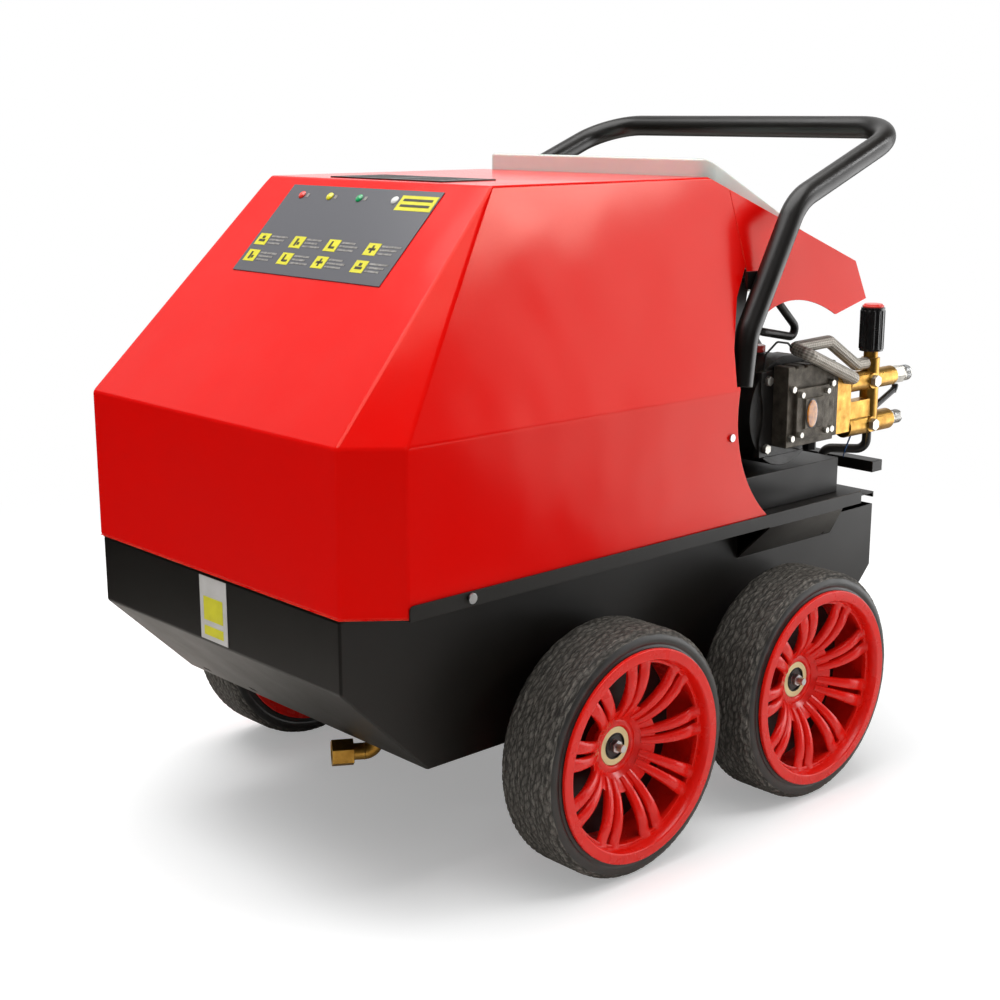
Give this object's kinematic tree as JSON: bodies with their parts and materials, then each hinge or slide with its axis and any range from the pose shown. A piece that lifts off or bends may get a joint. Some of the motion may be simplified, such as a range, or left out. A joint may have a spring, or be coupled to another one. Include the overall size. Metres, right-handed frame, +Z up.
{
  "type": "hot water pressure washer",
  "caption": "Four-wheeled hot water pressure washer with a boiler under a sloped sheet metal hood, a motor pump and tank at the rear and a tubular push handle.",
  "frame": {"origin": "on the floor, midway between nose and outlet tip and between the wheels", "axes": "+Z up, +Y from the nose towards the handle and pump, -Y towards the nose, +X to the side on which the pump head stands"},
  "size_m": [0.721, 1.056, 0.867],
  "materials": {
    "powder_black": "semi-matt powder coat",
    "hood_red": "gloss powder coat",
    "tank_white": "translucent moulded",
    "black_plastic": "moulded",
    "panel_film": "satin film",
    "lamp_yellow": "clear coloured",
    "label_white": "plain film",
    "zinc_steel": "zinc plated",
    "axle_steel": "bright drawn",
    "yellow_zinc": "yellow zinc plated",
    "rim_red": "moulded",
    "tyre_rubber": "moulded rubber",
    "motor_grey": "painted casting",
    "pump_black": "painted casting",
    "pump_grey": "raw casting",
    "ceramic": "ceramic sleeve",
    "forged_brass": "forged and machined",
    "plug_steel": "plated",
    "cap_red": "moulded",
    "braid": "steel braid over rubber",
    "rubber_black": "smooth",
    "boiler_steel": "heat-proof paint"
  },
  "bodies": {
    "machine": {"chassis_tub": "powder_black", "side_rails": "powder_black", "deck_plate": "powder_black", "pump_frame": "powder_black", "hood": "hood_red", "rear_cowl": "hood_red", "tank": "tank_white", "flue_grille": "black_plastic", "control_panel": "panel_film", "indicator_lamps": "lamp_yellow", "label_plate": "label_white", "front_axle": "axle_steel", "rear_axle": "axle_steel", "axle_clamps": "powder_black", "wheel_bearings": "yellow_zinc", "axle_nuts": "zinc_steel", "push_handle": "powder_black", "handle_posts": "powder_black", "fixing_bolts": "zinc_steel", "motor_body": "motor_grey", "motor_flange": "motor_grey", "motor_fan_cover": "black_plastic", "terminal_box": "black_plastic", "pump_barrel": "pump_black", "crankcase": "pump_grey", "side_cover": "pump_grey", "pump_bolts": "zinc_steel", "pump_head": "forged_brass", "unloader_body": "forged_brass", "head_plugs": "plug_steel", "port_nipples": "zinc_steel", "pressure_switch": "black_plastic", "crankcase_plugs": "cap_red", "bypass_hose": "braid", "suction_hose": "rubber_black", "sensor_cable": "rubber_black", "inlet_fitting": "forged_brass", "boiler_shell": "boiler_steel", "heating_coil": "boiler_steel", "burner": "boiler_steel"},
    "wheel_front_right": {"rim_front_right": "rim_red", "tyre_front_right": "tyre_rubber"},
    "wheel_front_left": {"rim_front_left": "rim_red", "tyre_front_left": "tyre_rubber"},
    "wheel_rear_right": {"rim_rear_right": "rim_red", "tyre_rear_right": "tyre_rubber"},
    "wheel_rear_left": {"rim_rear_left": "rim_red", "tyre_rear_left": "tyre_rubber"},
    "drive_line": {"motor_shaft": "axle_steel", "motor_fan": "black_plastic", "shaft_coupling": "axle_steel", "crankshaft": "axle_steel"},
    "first_plunger": {"plunger_1": "ceramic"},
    "second_plunger": {"plunger_2": "ceramic"},
    "third_plunger": {"plunger_3": "ceramic"},
    "pressure_knob": {"unloader_knob": "black_plastic", "knob_cap": "cap_red"},
    "filler_cap": {"tank_cap": "black_plastic"},
    "swivel_nut": {"inlet_nut": "forged_brass"},
    "blower_wheel": {"burner_fan": "boiler_steel"}
  },
  "joints": [
    {"name": "spin_front_right_wheel", "type": "hinge", "parent": "machine", "child": "wheel_front_right", "pos_m": [0.289, -0.183, 0.15], "axis": [1, 0, 0], "continuous": true},
    {"name": "spin_front_left_wheel", "type": "hinge", "parent": "machine", "child": "wheel_front_left", "pos_m": [-0.289, -0.183, 0.15], "axis": [1, 0, 0], "continuous": true},
    {"name": "spin_rear_right_wheel", "type": "hinge", "parent": "machine", "child": "wheel_rear_right", "pos_m": [0.289, 0.159, 0.15], "axis": [1, 0, 0], "continuous": true},
    {"name": "spin_rear_left_wheel", "type": "hinge", "parent": "machine", "child": "wheel_rear_left", "pos_m": [-0.289, 0.159, 0.15], "axis": [1, 0, 0], "continuous": true},
    {"name": "spin_drive_line", "type": "hinge", "parent": "machine", "child": "drive_line", "pos_m": [0, 0.259, 0.48], "axis": [1, 0, 0], "continuous": true},
    {"name": "stroke_first_plunger", "type": "slide", "parent": "machine", "child": "first_plunger", "axis": [0, 1, 0], "range_m": [-0.005, 0.005]},
    {"name": "stroke_second_plunger", "type": "slide", "parent": "machine", "child": "second_plunger", "axis": [0, 1, 0], "range_m": [-0.005, 0.005]},
    {"name": "stroke_third_plunger", "type": "slide", "parent": "machine", "child": "third_plunger", "axis": [0, 1, 0], "range_m": [-0.005, 0.005]},
    {"name": "turn_pressure_knob", "type": "hinge", "parent": "machine", "child": "pressure_knob", "pos_m": [0.212, 0.438, 0.57], "axis": [0, 0, 1], "continuous": true},
    {"name": "turn_filler_cap", "type": "hinge", "parent": "machine", "child": "filler_cap", "pos_m": [0, 0.215, 0.78], "axis": [0, 0, 1], "continuous": true},
    {"name": "turn_swivel_nut", "type": "hinge", "parent": "machine", "child": "swivel_nut", "pos_m": [0.07915, -0.39147, 0.13], "axis": [-0.5283, -0.8491, 0], "continuous": true},
    {"name": "spin_blower_wheel", "type": "hinge", "parent": "machine", "child": "blower_wheel", "pos_m": [0, 0.061, 0.263], "axis": [1, 0, 0], "continuous": true}
  ]
}
